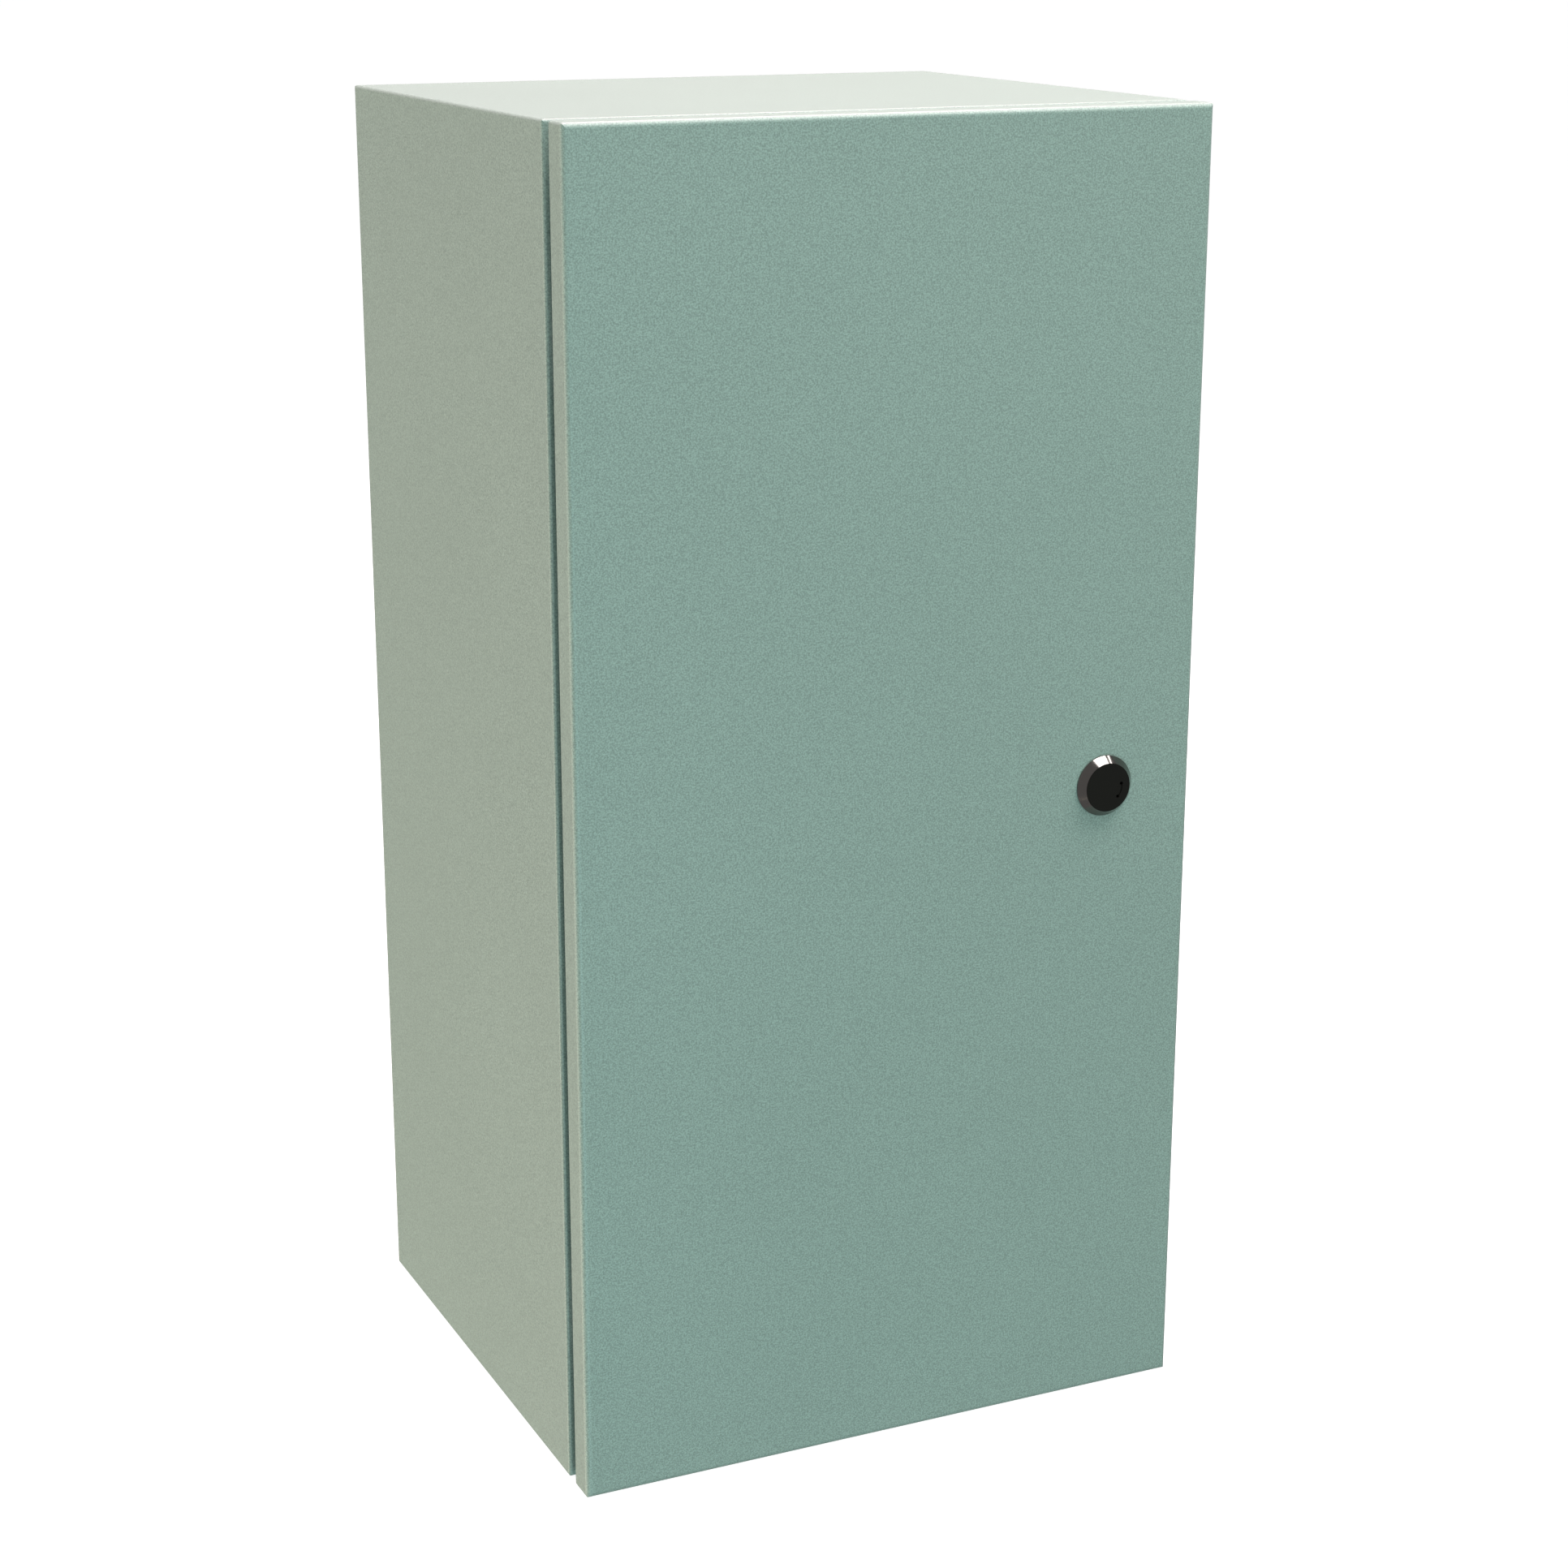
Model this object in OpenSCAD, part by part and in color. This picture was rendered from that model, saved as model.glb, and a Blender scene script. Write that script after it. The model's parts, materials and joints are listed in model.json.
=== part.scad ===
// Wall-mounted sheet-steel switchboard cabinet with its mounting plate, rails and switchgear.
// X runs to the right, Y from the door to the wall and Z up; the origin is the centre of the base.
// Every module is drawn from the cabinet's lower left front corner and moved by in_frame().

/* [Cabinet] */
// Outside width of the body and the door
width = 300; // [300:10:400]
// Outside height of the body and the door
height = 600; // [600:50:800]
// Depth of the body, from its front plane to the face on the wall
body_depth = 250; // [220:10:300]
// Thickness of the folded sheet steel
sheet = 1.5; // [1.2:0.1:1.8]

/* [Door] */
// Depth of the flange folded round the door
door_flange = 14; // [13:0.5:16]
// Distance from the door's front face to the body's front plane
front_gap = 22; // [22:0.5:24]
// Outer bend radius of the door's front edges
door_bend = 2.5; // [2:0.5:3]
// Distance from the lock's centre to the door's right edge
lock_inset = 45; // [45:1:55]

/* [Switchgear] */
// Number of feed-through terminals in the third row
terminals = 20; // [5:1:20]

/* [Hidden] */
$fn = 48;

paint = "#9eafa4";
zinc = "silver";
past = 1;            // how far a cutting shape runs past the face it cuts

// body
corner = 1.5;        // rounding of the welded corner edges
body_bend = 1.5;     // outer bend radius of the body's front edges
rear_bend = 3;       // outer bend radius of the body's rear edges
rear_inset = 12;     // distance from the outside to the rear panel's edges
lip_inset = 24;      // distance from the outside to the door opening
lip_front = 7.8;     // front edge of the rain lip, just short of the door's gasket
lip_corner = 4;
body_front = front_gap;
rear = body_front + body_depth;
rear_inside = rear - sheet;
wall_hole_r = 4.5;
wall_inset = 30;

// cut-out and gland plate in the base
gland_w = 200;
gland_d = 110;
gland_rim = 12;
gland_corner = 5;
gland_t = 2;
gland_seal = 1.5;
gland_stud_r = 2.5;
gland_x = (width - gland_w) / 2;
gland_y = body_front + (body_depth - gland_d) / 2;
gland_top = sheet + gland_seal + gland_t;

// hinges
hinge_x = 6;
hinge_y = 9;
hinge_z = [80, height - 80];
pin_r = 2.5;
running_fit = 0.05;
knuckle_r = 4;
knuckle_half = 11.5;
hinge_half = 26;     // half the height of the foot and of the leaf
lug_t = 4;
lug_gap = 0.3;
arm_right = 19;
arm_t = 3;
foot_screw_x = 10;
foot_screw_z = 19;   // height of the screws above and below the hinge's middle
foot_screw_r = 2;

// gasket on the door
gasket_inset = 19.5;
gasket_w = 9;
gasket_t = 6;

// lock
lock_out = 4.35;     // how far the lock stands out of the door
lock_x = width - lock_inset;
lock_z = height / 2;
head_r = 14;
face_r = 11.1;
key_r = 6.9;         // circle of the two key holes
key_angles = [10, -43];
thread_r = 11;
shaft_r = 7;
housing_end = body_front - 1;
square_half = 4;
cam_y = body_front + sheet + 0.5;
cam_t = 3;
cam_reach = 32;
cam_w = 16;

front_y = -(rear + lock_out) / 2 + lock_out; // the door's front face in the part's frame

// mounting plate
plate_t = 2;
plate_inset = 25;
plate_corner = 3;
standoff = 14.5;
plate_back = rear_inside - standoff;
plate_front = plate_back - plate_t;
stud_r = 4;
stud_x = [40, width - 40];
stud_z = [38, height - 38];

// rails, rows and ducts
module_w = 17.5;     // width of one pole
row_poles = 12;
row_w = row_poles * module_w;
row_x = (width - 178) / 2;
rail_h = 35;
rail_depth = 7.5;
rail_y = plate_front - rail_depth;
row_z = [height - 129, height - 266, height - 388];
duct_rows = [height - 61, height - 197.5, height - 334.5, height - 441.5];
duct_h = 25;
duct_d = 50;
duct_wall = 1.5;
duct_x = 30;
duct_y = plate_front - duct_d;
cover_t = 1.6;
slot_pitch = module_w / 2;
slot_w = 4.4;

// modular devices
case_h = 85;
nose_h = 45;
shoulder = 44;       // depth of the case at its terminals, from the rail's front
nose = 60;           // depth of the case at its toggles
pivot_out = 53;
barrel_r = 7;
toggle_w = 8;
toggle_rise = 35;    // degrees above level when switched on
well_z = 32;         // height of the terminal screws above and below the rail's middle
well_r = 3.4;
wire_r = 1.6;
wire_y = rail_y - 22;
rcd_x = row_x + 4 * module_w;
spd_x = row_x + 8 * module_w;
button_x = rcd_x + 0.75 * module_w;
button_z = row_z[0] - 8;
button_r = 4;

// terminals and bars
terminal_h = 56;
terminal_wire_y = rail_y - 12;
bar_z = [height - 475, height - 503];
bar_back = plate_front - 20;
bar_t = 6;
bar_h = 10;
bar_x = [row_x + 10, row_x + row_w - 20];
bar_pitch = 14;

// earthing
earth_z = height - 150;
earth_door_x = 36;
earth_body_y = 55;
earth_r = 3;
strap_r = 2.2;

// ---------------------------------------------------------------- helpers
module in_frame() translate([-width / 2, front_y, 0]) children();
module along_y(y0, y1) translate([0, y1, 0]) rotate([90, 0, 0]) linear_extrude(y1 - y0) children();
module along_x(x0, x1) translate([x0, 0, 0]) rotate([90, 0, 90]) linear_extrude(x1 - x0) children();
module x_rod(x0, x1, y, z, r) translate([x0, y, z]) rotate([0, 90, 0]) cylinder(h = x1 - x0, r = r);
module y_rod(x, z, y0, y1, r) translate([x, y0, z]) rotate([-90, 0, 0]) cylinder(h = y1 - y0, r = r);
module z_rod(x, y, z0, z1, r) translate([x, y, z0]) cylinder(h = z1 - z0, r = r);
module box(x0, x1, y0, y1, z0, z1) translate([x0, y0, z0]) cube([x1 - x0, y1 - y0, z1 - z0]);
// nuts, given across their flats
module hex(h, flats) cylinder(h = h, r = flats / sqrt(3), $fn = 6);
module y_hex(x, z, y0, y1, flats) translate([x, y0, z]) rotate([-90, 0, 0]) hex(y1 - y0, flats);
module x_hex(x0, x1, y, z, flats) translate([x0, y, z]) rotate([0, 90, 0]) hex(x1 - x0, flats);
// screw with a slotted head at the front
module slotted_screw(x, z, y0, y1, head, r) {
    slot = 1;
    difference() {
        y_rod(x, z, y0, y1, r);
        box(x - r - past, x + r + past, y0 - past, y0 + head, z - slot / 2, z + slot / 2);
    }
}

module rounded_rect(w, h, r) {
    translate([r, 0]) square([w - 2 * r, h]);
    translate([0, r]) square([w, h - 2 * r]);
    for (x = [r, w - r], y = [r, h - r]) translate([x, y]) circle(r);
}
module round_slot(w, h) {
    translate([h / 2, 0]) square([w - h, h]);
    for (x = [h / 2, w - h / 2]) translate([x, h / 2]) circle(h / 2);
}
module inset_rect(w, h, inset, r)
    translate([inset, inset]) rounded_rect(w - 2 * inset, h - 2 * inset, r);

// section through a folded sheet: depth along the first axis, bends at the front
module bent_profile(across, y0, y1, r) {
    translate([y0 + r, 0]) square([y1 - y0 - r, across]);
    translate([y0, r]) square([2 * r, across - 2 * r]);
    for (c = [r, across - r]) translate([y0 + r, c]) circle(r);
}
// block with bent front edges
module bent_block(w, h, y0, y1, bend) intersection() {
    linear_extrude(h) mirror([1, -1, 0]) bent_profile(w, y0, y1, bend);
    along_x(0, w) bent_profile(h, y0, y1, bend);
}
// the same with rounded corner edges
module folded_block(w, h, y0, y1, bend, r) intersection() {
    bent_block(w, h, y0, y1, bend);
    along_y(y0, y1) rounded_rect(w, h, r);
}

// ---------------------------------------------------------------- body
module body_shell() {
    return_back = body_front + sheet;
    color(paint) in_frame() {
        difference() {
            intersection() {
                folded_block(width, height, body_front, rear, body_bend, corner);
                translate([0, body_front + rear, 0]) mirror([0, 1, 0])
                    bent_block(width, height, body_front, rear, rear_bend);
            }
            box(sheet, width - sheet, return_back, rear_inside, sheet, height - sheet);
            box(rear_inset, width - rear_inset, rear_inside - past, rear + past,
                rear_inset, height - rear_inset);
            along_y(body_front - past, return_back + past) inset_rect(width, height, lip_inset, lip_corner);
            translate([0, 0, -past]) linear_extrude(sheet + 2 * past) gland_outline(0);
            for (z = hinge_z, dz = [-foot_screw_z, foot_screw_z])
                y_rod(foot_screw_x, z + dz, body_front - past, return_back + past, foot_screw_r + 0.1);
        }
        along_y(lip_front, return_back) difference() {
            inset_rect(width, height, lip_inset - sheet, lip_corner + sheet);
            inset_rect(width, height, lip_inset, lip_corner);
        }
    }
}

module rear_panel() {
    color(paint) in_frame() difference() {
        box(rear_inset, width - rear_inset, rear_inside, rear, rear_inset, height - rear_inset);
        for (x = [wall_inset, width - wall_inset], z = [wall_inset, height - wall_inset])
            y_rod(x, z, rear_inside - past, rear + past, wall_hole_r);
    }
}

module gland_outline(grow) {
    translate([gland_x - grow, gland_y - grow])
        rounded_rect(gland_w + 2 * grow, gland_d + 2 * grow, gland_corner);
}
module at_gland_studs()
    for (x = [gland_x - gland_rim / 2, gland_x + gland_w + gland_rim / 2],
         y = [gland_y + gland_rim, gland_y + gland_d - gland_rim])
        translate([x, y, 0]) children();

module gland_gasket() {
    color("#26282a") in_frame() difference() {
        translate([0, 0, sheet]) linear_extrude(gland_seal) difference() {
            gland_outline(gland_rim);
            gland_outline(0);
        }
        at_gland_studs() cylinder(h = gland_top, r = gland_stud_r + 0.3);
    }
}
module gland_plate() {
    color(paint) in_frame() difference() {
        translate([0, 0, sheet + gland_seal]) linear_extrude(gland_t) gland_outline(gland_rim);
        at_gland_studs() cylinder(h = gland_top + past, r = gland_stud_r + 0.3);
    }
}
// studs welded to the base, with their washers and nuts
module gland_fixings() {
    washer_t = 1;
    nut_t = 4;
    color(zinc) in_frame() at_gland_studs() {
        translate([0, 0, sheet]) cylinder(h = gland_top - sheet + washer_t + nut_t + 1.5, r = gland_stud_r);
        translate([0, 0, gland_top]) cylinder(h = washer_t, r = 5.5);
        translate([0, 0, gland_top + washer_t]) hex(nut_t, 8);
    }
}

// ---------------------------------------------------------------- mounting plate
module at_studs() for (x = stud_x, z = stud_z) translate([x, 0, z]) children();
module mounting_studs() {
    color(zinc) in_frame() at_studs() y_rod(0, 0, plate_front - 11, rear_inside, stud_r);
}
module standoff_sleeves() {
    color(zinc) in_frame() at_studs() difference() {
        y_rod(0, 0, plate_back, rear_inside, stud_r + 3);
        y_rod(0, 0, plate_back - past, rear_inside + past, stud_r + 0.2);
    }
}
module mounting_plate() {
    color("#b9bcbb") in_frame() difference() {
        along_y(plate_front, plate_back) inset_rect(width, height, plate_inset, plate_corner);
        at_studs() y_rod(0, 0, plate_front - past, plate_back + past, stud_r + 0.5);
    }
}
module mounting_nuts() {
    washer_t = 1.6;
    nut_t = 6.4;
    color(zinc) in_frame() at_studs() difference() {
        union() {
            y_rod(0, 0, plate_front - washer_t, plate_front, 8.5);
            y_hex(0, 0, plate_front - washer_t - nut_t, plate_front - washer_t, 13);
        }
        y_rod(0, 0, plate_front - washer_t - nut_t - past, plate_front + past, stud_r + running_fit);
    }
}

// ---------------------------------------------------------------- hinges
module hinge_arms() {
    foot_y = body_front - arm_t;
    arm_front = hinge_y - knuckle_r;
    color("#8d9295") in_frame() for (z = hinge_z) translate([0, 0, z]) difference() {
        union() {
            z_rod(hinge_x, hinge_y, -knuckle_half, knuckle_half, knuckle_r);
            box(hinge_x, arm_right, arm_front, arm_front + arm_t, -knuckle_half, knuckle_half);
            box(arm_right - arm_t, arm_right, arm_front, body_front, -knuckle_half, knuckle_half);
            box(knuckle_r, arm_right, foot_y, body_front, -hinge_half, hinge_half);
        }
        z_rod(hinge_x, hinge_y, -hinge_half, hinge_half, pin_r + running_fit);
        for (dz = [-foot_screw_z, foot_screw_z]) {
            y_rod(foot_screw_x, dz, foot_y - past, body_front + past, foot_screw_r + 0.1);
            y_rod(foot_screw_x, dz, foot_y - past, foot_y + 1.5, 2 * foot_screw_r - 0.2);
        }
    }
}
module hinge_screws() {
    foot_y = body_front - arm_t;
    nut_y = body_front + sheet;
    color(zinc) in_frame() for (z = hinge_z, dz = [-foot_screw_z, foot_screw_z]) {
        y_rod(foot_screw_x, z + dz, foot_y + 0.1, nut_y + 4, foot_screw_r);
        slotted_screw(foot_screw_x, z + dz, foot_y + 0.1, foot_y + 1.5, 0.6, 2 * foot_screw_r - 0.4);
        y_hex(foot_screw_x, z + dz, nut_y, nut_y + 3, 7);
    }
}
// plates welded inside the door, with the lugs that hold the pins
module hinge_leaves() {
    leaf_right = 18;
    color("#8d9295") in_frame() for (z = hinge_z) translate([0, 0, z]) difference() {
        union() {
            box(knuckle_r, leaf_right, sheet, 2 * sheet, -hinge_half, hinge_half);
            for (z0 = [knuckle_half + lug_gap, -knuckle_half - lug_gap - lug_t]) {
                z_rod(hinge_x, hinge_y, z0, z0 + lug_t, knuckle_r);
                box(hinge_x - knuckle_r / 2, hinge_x + knuckle_r, sheet, hinge_y, z0, z0 + lug_t);
            }
        }
        z_rod(hinge_x, hinge_y, -hinge_half, hinge_half, pin_r + 0.02);
    }
}
module hinge_pins() {
    lug_top = knuckle_half + lug_gap + lug_t;
    color(zinc) in_frame() for (z = hinge_z) {
        z_rod(hinge_x, hinge_y, z - lug_top - 2, z + lug_top + 1.5, pin_r);
        z_rod(hinge_x, hinge_y, z + lug_top, z + lug_top + 1.5, pin_r + 1);
    }
}

// ---------------------------------------------------------------- door
module door_panel() {
    inner_w = width - 2 * sheet;
    inner_h = height - 2 * sheet;
    color(paint) in_frame() difference() {
        folded_block(width, height, 0, door_flange, door_bend, corner);
        translate([sheet, 0, sheet])
            folded_block(inner_w, inner_h, sheet, door_flange + past, door_bend - sheet, corner / 3);
        y_rod(lock_x, lock_z, -past, sheet + past, thread_r + 0.1);
    }
}
module door_gasket() {
    color("#2a2c2e") in_frame() along_y(sheet, sheet + gasket_t) difference() {
        inset_rect(width, height, gasket_inset, gasket_w);
        inset_rect(width, height, gasket_inset + gasket_w, gasket_w / 3);
    }
}
// open-topped tray for the circuit diagrams
module document_pocket() {
    pocket_x = 40;
    pocket_z = 70;
    w = 180;
    h = 130;
    wall = 2;
    front = sheet + 22;
    thumb_r = 28;
    color("#d7dad8") in_frame() difference() {
        along_y(sheet, front) translate([pocket_x, pocket_z]) rounded_rect(w, h, 4);
        box(pocket_x + wall, pocket_x + w - wall, sheet + wall, front - wall,
            pocket_z + wall, pocket_z + h + past);
        y_rod(pocket_x + w / 2, pocket_z + h, front - wall - past, front + past, thumb_r);
    }
}

// ---------------------------------------------------------------- lock
// turned shape on the lock's axis; its outline holds [radius, depth] points
module turned(outline)
    translate([lock_x, 0, lock_z]) rotate([-90, 0, 0]) rotate_extrude() polygon(outline);
seal_t = 0.5;
recess = -1.5;       // depth of the face's seat in the housing
module lock_seal() {
    color("#1d1e1f") in_frame() turned([
        [thread_r + 0.1, -seal_t], [head_r - 0.4, -seal_t], [head_r - 0.4, 0], [thread_r + 0.1, 0]]);
}
module lock_housing() {
    bevel_start = -0.8;
    rim_in = face_r + 0.1;
    rim_front = 0.1 - lock_out;
    shaft_in = shaft_r + running_fit;
    color("#c8cacc") in_frame() turned([
        [head_r, -seal_t], [head_r, bevel_start], [rim_in, rim_front], [rim_in, recess],
        [shaft_in, recess], [shaft_in, housing_end], [thread_r, housing_end], [thread_r, -seal_t]]);
}
module lock_nut() {
    nut_t = 5;
    color(zinc) in_frame() difference() {
        y_hex(lock_x, lock_z, sheet, sheet + nut_t, 27);
        y_rod(lock_x, lock_z, sheet - past, sheet + nut_t + past, thread_r + running_fit);
    }
}
// fine arc-shaped groove between the two holes for the pins of the key
module key_groove(depth) {
    half = 0.4;
    reach = 2 * key_r;
    intersection() {
        difference() {
            y_rod(lock_x, lock_z, -lock_out - past, depth - lock_out, key_r + half);
            y_rod(lock_x, lock_z, -lock_out - 2 * past, depth - lock_out + past, key_r - half);
        }
        along_y(-lock_out - past, depth - lock_out) translate([lock_x, lock_z])
            polygon([[0, 0], for (angle = key_angles) reach * [cos(angle), sin(angle)]]);
    }
}
// rotor with a flat face, two holes for a pin key and a square end for the cam
module lock_rotor() {
    hole_r = 0.8;
    hole_depth = 2.5;
    groove_depth = 0.5;
    color("#1b1b1a") in_frame() {
        difference() {
            union() {
                y_rod(lock_x, lock_z, -lock_out, recess - running_fit, face_r);
                y_rod(lock_x, lock_z, recess - past, housing_end + 0.4, shaft_r);
            }
            for (angle = key_angles)
                y_rod(lock_x + key_r * cos(angle), lock_z + key_r * sin(angle),
                    -lock_out - past, hole_depth - lock_out, hole_r);
            key_groove(groove_depth);
        }
        box(lock_x - square_half, lock_x + square_half, housing_end, cam_y + cam_t,
            lock_z - square_half, lock_z + square_half);
    }
}
module lock_cam() {
    hole_half = square_half + 0.1;
    color("#b4b7b8") in_frame() difference() {
        along_y(cam_y, cam_y + cam_t) translate([lock_x, lock_z]) {
            circle(cam_w / 2);
            translate([-cam_w / 2, 0]) square([cam_w, cam_reach]);
            translate([0, cam_reach]) circle(cam_w / 2);
        }
        box(lock_x - hole_half, lock_x + hole_half, cam_y - past, cam_y + cam_t + past,
            lock_z - hole_half, lock_z + hole_half);
    }
}
module cam_screw() {
    cam_back = cam_y + cam_t;
    washer_t = 1.2;
    head_t = 4;
    color(zinc) in_frame() difference() {
        union() {
            y_rod(lock_x, lock_z, cam_back, cam_back + washer_t, 7);
            y_hex(lock_x, lock_z, cam_back + washer_t, cam_back + washer_t + head_t, 10);
        }
        y_hex(lock_x, lock_z, cam_back + washer_t + head_t / 2, cam_back + washer_t + head_t + past, 5);
    }
}

// ---------------------------------------------------------------- rails and ducts
// top-hat rail: depth along the first axis, height along the second
module rail_section() {
    crown = 27;
    for (s = [-1, 1]) scale([1, s]) {
        translate([rail_y, crown / 2 - 1]) square([1, (rail_h - crown) / 2 + 1]);
        translate([rail_y, crown / 2 - 1]) square([rail_depth, 1]);
    }
    translate([plate_front - 1, -crown / 2]) square([1, crown]);
}
rail_slot_pitch = 23;
module din_rail(z) {
    slot = [12, 5.6];
    color("#c4c2b4") in_frame() difference() {
        translate([0, 0, z]) along_x(row_x - 1, row_x + row_w + 1) rail_section();
        for (k = [0:8]) along_y(plate_front - 1 - past, plate_front + past)
            translate([row_x + 13 + k * rail_slot_pitch, z - slot[1] / 2]) round_slot(slot[0], slot[1]);
    }
}
module rail_screws() {
    head_t = 2.4;
    color(zinc) in_frame() for (z = row_z, k = [0, 7]) {
        x = row_x + 19 + k * rail_slot_pitch;
        slotted_screw(x, z, plate_front - 1 - head_t, plate_front - 1, 1.2, 4.5);
        y_rod(x, z, plate_front - 1, plate_front, 2.4);
    }
}

vertical_duct = [52, height - 49];
module duct_trough(length, h) {
    difference() {
        cube([length, duct_d, h]);
        translate([-past, -past, duct_wall])
            cube([length + 2 * past, duct_d + past - duct_wall, h - 2 * duct_wall]);
    }
}
module duct_slots(count, h) {
    back_land = 12;
    for (k = [1:count]) translate([k * slot_pitch - slot_w / 2, -past, -past])
        cube([slot_w, duct_d - back_land + past, h + 2 * past]);
}
module wiring_ducts() {
    length = vertical_duct[1] - vertical_duct[0];
    first_x = duct_x + duct_h + 1;
    color("#a9adb0") in_frame() {
        for (z = duct_rows) difference() {
            translate([first_x, duct_y, z - duct_h / 2]) duct_trough(row_x + row_w - first_x, duct_h);
            translate([row_x, duct_y, z - duct_h / 2]) duct_slots(2 * row_poles - 1, duct_h);
        }
        translate([duct_x + duct_h, duct_y, vertical_duct[0]]) rotate([0, -90, 0]) difference() {
            duct_trough(length, duct_h);
            duct_slots(floor(length / slot_pitch) - 1, duct_h);
        }
    }
}
module duct_covers() {
    color("#b6babc") in_frame() {
        for (z = duct_rows)
            box(duct_x + duct_h + 2.5, row_x + row_w, duct_y - cover_t, duct_y,
                z - duct_h / 2, z + duct_h / 2);
        box(duct_x, duct_x + duct_h, duct_y - cover_t, duct_y, vertical_duct[0], vertical_duct[1]);
    }
}

// ---------------------------------------------------------------- modular devices
// notch that grips the rail, as points at the back of a device
hook_out = 1.3;
hook_z = 15;
grip_z = rail_h / 2 + 0.3;
function rail_notch(back) = [
    [back, -hook_z], [rail_y + hook_out, -hook_z], [rail_y + hook_out, -grip_z], [rail_y, -grip_z],
    [rail_y, grip_z], [rail_y + hook_out, grip_z], [rail_y + hook_out, hook_z], [back, hook_z]];
// outline of a modular device; depth along the first axis
module case_section() {
    back = rail_y + 4;
    low = rail_y - shoulder;
    high = rail_y - nose;
    c = case_h / 2;
    n = nose_h / 2;
    polygon(concat([[back, -c]], rail_notch(back), [
        [back, c], [low + 1, c], [low, c - 1], [low, n], [high + 1, n], [high, n - 1],
        [high, 1 - n], [high + 1, -n], [low, -n], [low, 1 - c], [low + 1, -c]]));
}
// terminal wells and wire entries of one pole
module pole_cuts(x, z) {
    entry = [7, 9, 12];
    for (s = [-1, 1]) {
        y_rod(x, z + s * well_z, rail_y - shoulder - past, rail_y - shoulder + 9, well_r);
        translate([x, wire_y, z + s * 37.5]) cube(entry, center = true);
    }
}
module toggle_slot(x, z) {
    half = toggle_w / 2 + 0.4;
    travel = 11;
    x_rod(x - half, x + half, rail_y - pivot_out, z, barrel_r + 0.4);
    box(x - half, x + half, rail_y - nose - past, rail_y - pivot_out, z - travel, z + travel);
}
module device_body(x0, poles, z) {
    translate([0, 0, z]) along_x(x0 + 0.15, x0 + poles * module_w - 0.15) case_section();
}
module device_case(x0, poles, z, tint, slots) {
    color(tint) in_frame() difference() {
        device_body(x0, poles, z);
        for (k = [0:poles - 1]) pole_cuts(x0 + (k + 0.5) * module_w, z);
        for (k = slots) toggle_slot(x0 + (k + 0.5) * module_w, z);
    }
}
// barrels in their slots, joined by one lever bar in front of the case
module device_toggle(x0, slots, z, tint) {
    xs = [for (k = slots) x0 + (k + 0.5) * module_w];
    half = toggle_w / 2;
    color(tint) in_frame() translate([0, rail_y - pivot_out, z]) rotate([-toggle_rise, 0, 0]) {
        for (x = xs) {
            x_rod(x - half, x + half, 0, 0, barrel_r);
            box(x - half, x + half, -15, 0, -2.5, 2.5);
        }
        box(min(xs) - half, max(xs) + half, -18, -12.5, -3, 3);
    }
}

module main_switch_case() { device_case(row_x, 4, row_z[0], "#d9dbd9", [1, 2]); }
module main_switch_toggle() { device_toggle(row_x, [1, 2], row_z[0], "#b3261e"); }
module residual_current_case() {
    difference() {
        device_case(rcd_x, 4, row_z[0], "#e3e4e1", [2, 3]);
        in_frame() y_rod(button_x, button_z, rail_y - nose - past, rail_y - nose + 5, button_r + 0.3);
    }
}
module residual_current_toggle() { device_toggle(rcd_x, [2, 3], row_z[0], "#23415f"); }
module test_button() {
    color("#d9a520") in_frame() y_rod(button_x, button_z, rail_y - nose - 2, rail_y - nose + 2.5, button_r);
}

cartridge_half = 18.6;
cartridge_back = rail_y - 40;
module surge_arrester_base() {
    color("#dcdedb") in_frame() difference() {
        device_body(spd_x, 4, row_z[0]);
        for (k = [0:3]) pole_cuts(spd_x + (k + 0.5) * module_w, row_z[0]);
        box(spd_x + 2, spd_x + 4 * module_w - 2, rail_y - nose - past, cartridge_back,
            row_z[0] - cartridge_half - 0.4, row_z[0] + cartridge_half + 0.4);
    }
}
module surge_cartridges() {
    pitch = module_w - 1;
    front = rail_y - nose - 4;
    color("#7c3f2c") in_frame() for (k = [0:3]) translate([spd_x + 2 + k * pitch, 0, row_z[0]]) difference() {
        box(0.2, pitch - 0.2, front, cartridge_back, -cartridge_half, cartridge_half);
        for (s = [-1, 1]) x_rod(-past, pitch + past, front, s * 15, 1.6);
        box(4, pitch - 4, front - past, front + 1, -4, 4);
    }
}

function breaker_x(n) = row_x + (n - 1) * 3 * module_w;
module breaker_case(n) { device_case(breaker_x(n), 3, row_z[1], "#e6e7e4", [0, 1, 2]); }
module breaker_toggle(n) { device_toggle(breaker_x(n), [0, 1, 2], row_z[1], "#2b2f33"); }

function pole_x(k) = row_x + (k + 0.5) * module_w;
module terminal_screws() {
    floor_y = rail_y - shoulder + 9;
    color(zinc) in_frame() for (row = [0, 1], k = [0:row_poles - 1], s = [-1, 1])
        slotted_screw(pole_x(k), row_z[row] + s * well_z, floor_y - 3, floor_y, 1, well_r - 0.1);
}

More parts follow.
